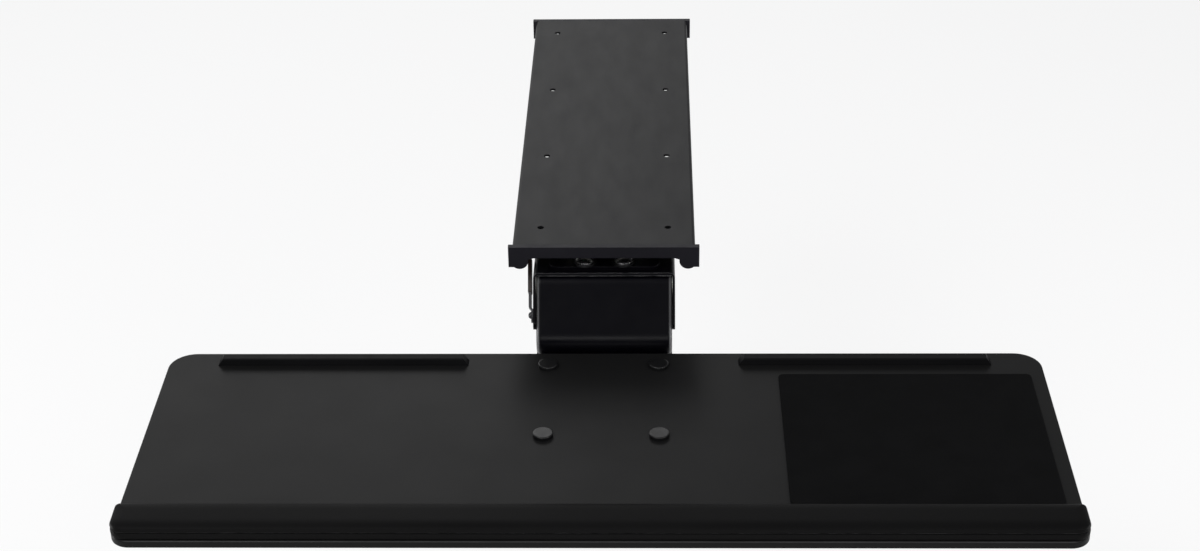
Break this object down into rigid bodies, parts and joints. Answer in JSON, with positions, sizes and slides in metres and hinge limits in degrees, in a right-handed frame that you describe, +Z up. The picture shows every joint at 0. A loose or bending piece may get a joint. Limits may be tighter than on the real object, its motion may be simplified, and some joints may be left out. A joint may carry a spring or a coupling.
{
  "type": "keyboard tray",
  "caption": "Keyboard tray that hangs under a desk on a sliding track, with a swivel, a height-adjusting arm, a tilting board, a palm rest and a mouse pad.",
  "frame": {"origin": "middle of the track's face that meets the underside of the desk", "axes": "+X to the right of the person who types, +Y away from that person under the desk, +Z up into the desk"},
  "size_m": [0.67, 0.7264, 0.11],
  "materials": {
    "track_steel": "satin black, baked",
    "cap_plastic": "satin moulded",
    "carriage_steel": "satin black",
    "nylon": "natural nylon",
    "bolt_steel": "bright zinc",
    "bracket_steel": "satin black, baked",
    "arm_steel": "satin black, baked",
    "spring_steel": "oiled spring wire",
    "lever_steel": "bare sheet steel",
    "grip_vinyl": "dipped vinyl",
    "knob_plastic": "satin moulded",
    "plate_steel": "satin black",
    "board_laminate": "semi-gloss phenolic board",
    "pad_fabric": "matte foam-backed cloth",
    "rest_skin": "soft moulded foam skin",
    "stop_plastic": "satin moulded",
    "cap_cover": "satin moulded"
  },
  "bodies": {
    "track": {"track_rail": "track_steel", "track_front_cap": "cap_plastic", "track_rear_cap": "cap_plastic"},
    "carriage": {"carriage_plate": "carriage_steel", "glide_left": "nylon", "glide_right": "nylon", "swivel_bolt": "bolt_steel", "swivel_washer_upper": "nylon", "swivel_washer_lower": "nylon", "swivel_nut": "bolt_steel"},
    "bracket": {"swivel_hub": "bracket_steel", "hub_washers": "bolt_steel", "hub_bolts": "bolt_steel", "swivel_bracket": "bracket_steel", "arm_pivot_pin": "bolt_steel", "spring_sleeve": "nylon", "link_anchors": "bracket_steel", "link_upper_pin": "bolt_steel", "lock_pad": "nylon", "lock_bolt": "bolt_steel"},
    "arm": {"arm_channel": "arm_steel", "arm_washers": "nylon", "height_springs": "spring_steel", "head_pivot_pin": "bolt_steel"},
    "link": {"levelling_links": "carriage_steel"},
    "head": {"tilt_head": "plate_steel", "link_lower_pin": "bolt_steel"},
    "tray": {"mount_plate": "plate_steel", "tilt_rod": "bolt_steel", "tilt_washer": "bolt_steel", "tray_bolts": "bolt_steel", "tray_nuts": "bolt_steel", "bolt_caps": "cap_cover", "tray_board": "board_laminate", "mouse_pad": "pad_fabric", "palm_rest": "rest_skin", "rear_stop_left": "stop_plastic", "rear_stop_right": "stop_plastic"},
    "lever": {"lock_lever": "lever_steel", "lock_lever_grip": "grip_vinyl"},
    "knob": {"tilt_knob": "knob_plastic"}
  },
  "joints": [
    {"name": "carriage_slide", "type": "slide", "parent": "track", "child": "carriage", "axis": [0, 1, 0], "range_m": [0, 0.318]},
    {"name": "swivel", "type": "hinge", "parent": "carriage", "child": "bracket", "pos_m": [0, -0.1775, 0], "axis": [0, 0, 1], "range_deg": [-180, 180]},
    {"name": "arm_lift", "type": "hinge", "parent": "bracket", "child": "arm", "pos_m": [0, -0.2135, -0.0385], "axis": [-1, 0, 0], "range_deg": [0, 58]},
    {"name": "head_level", "type": "hinge", "parent": "arm", "child": "head", "pos_m": [0, -0.22899, -0.07399], "axis": [-1, 0, 0], "range_deg": [-58, 0]},
    {"name": "link_swing", "type": "hinge", "parent": "bracket", "child": "link", "pos_m": [0, -0.20378, -0.05121], "axis": [-1, 0, 0], "range_deg": [0, 58]},
    {"name": "tray_tilt", "type": "hinge", "parent": "head", "child": "tray", "pos_m": [0, -0.27459, -0.09549], "axis": [-1, 0, 0], "range_deg": [-15, 15]},
    {"name": "lock_turn", "type": "hinge", "parent": "bracket", "child": "lever", "pos_m": [0, -0.22415, -0.0601], "axis": [-1, 0, 0], "range_deg": [0, 50]},
    {"name": "knob_turn", "type": "hinge", "parent": "tray", "child": "knob", "pos_m": [0, -0.27459, -0.09549], "axis": [1, 0, 0], "range_deg": [0, 180]}
  ],
  "couplings": [
    {"joint": "head_level", "follows": "arm_lift", "ratio": -1},
    {"joint": "link_swing", "follows": "arm_lift", "ratio": 1}
  ]
}
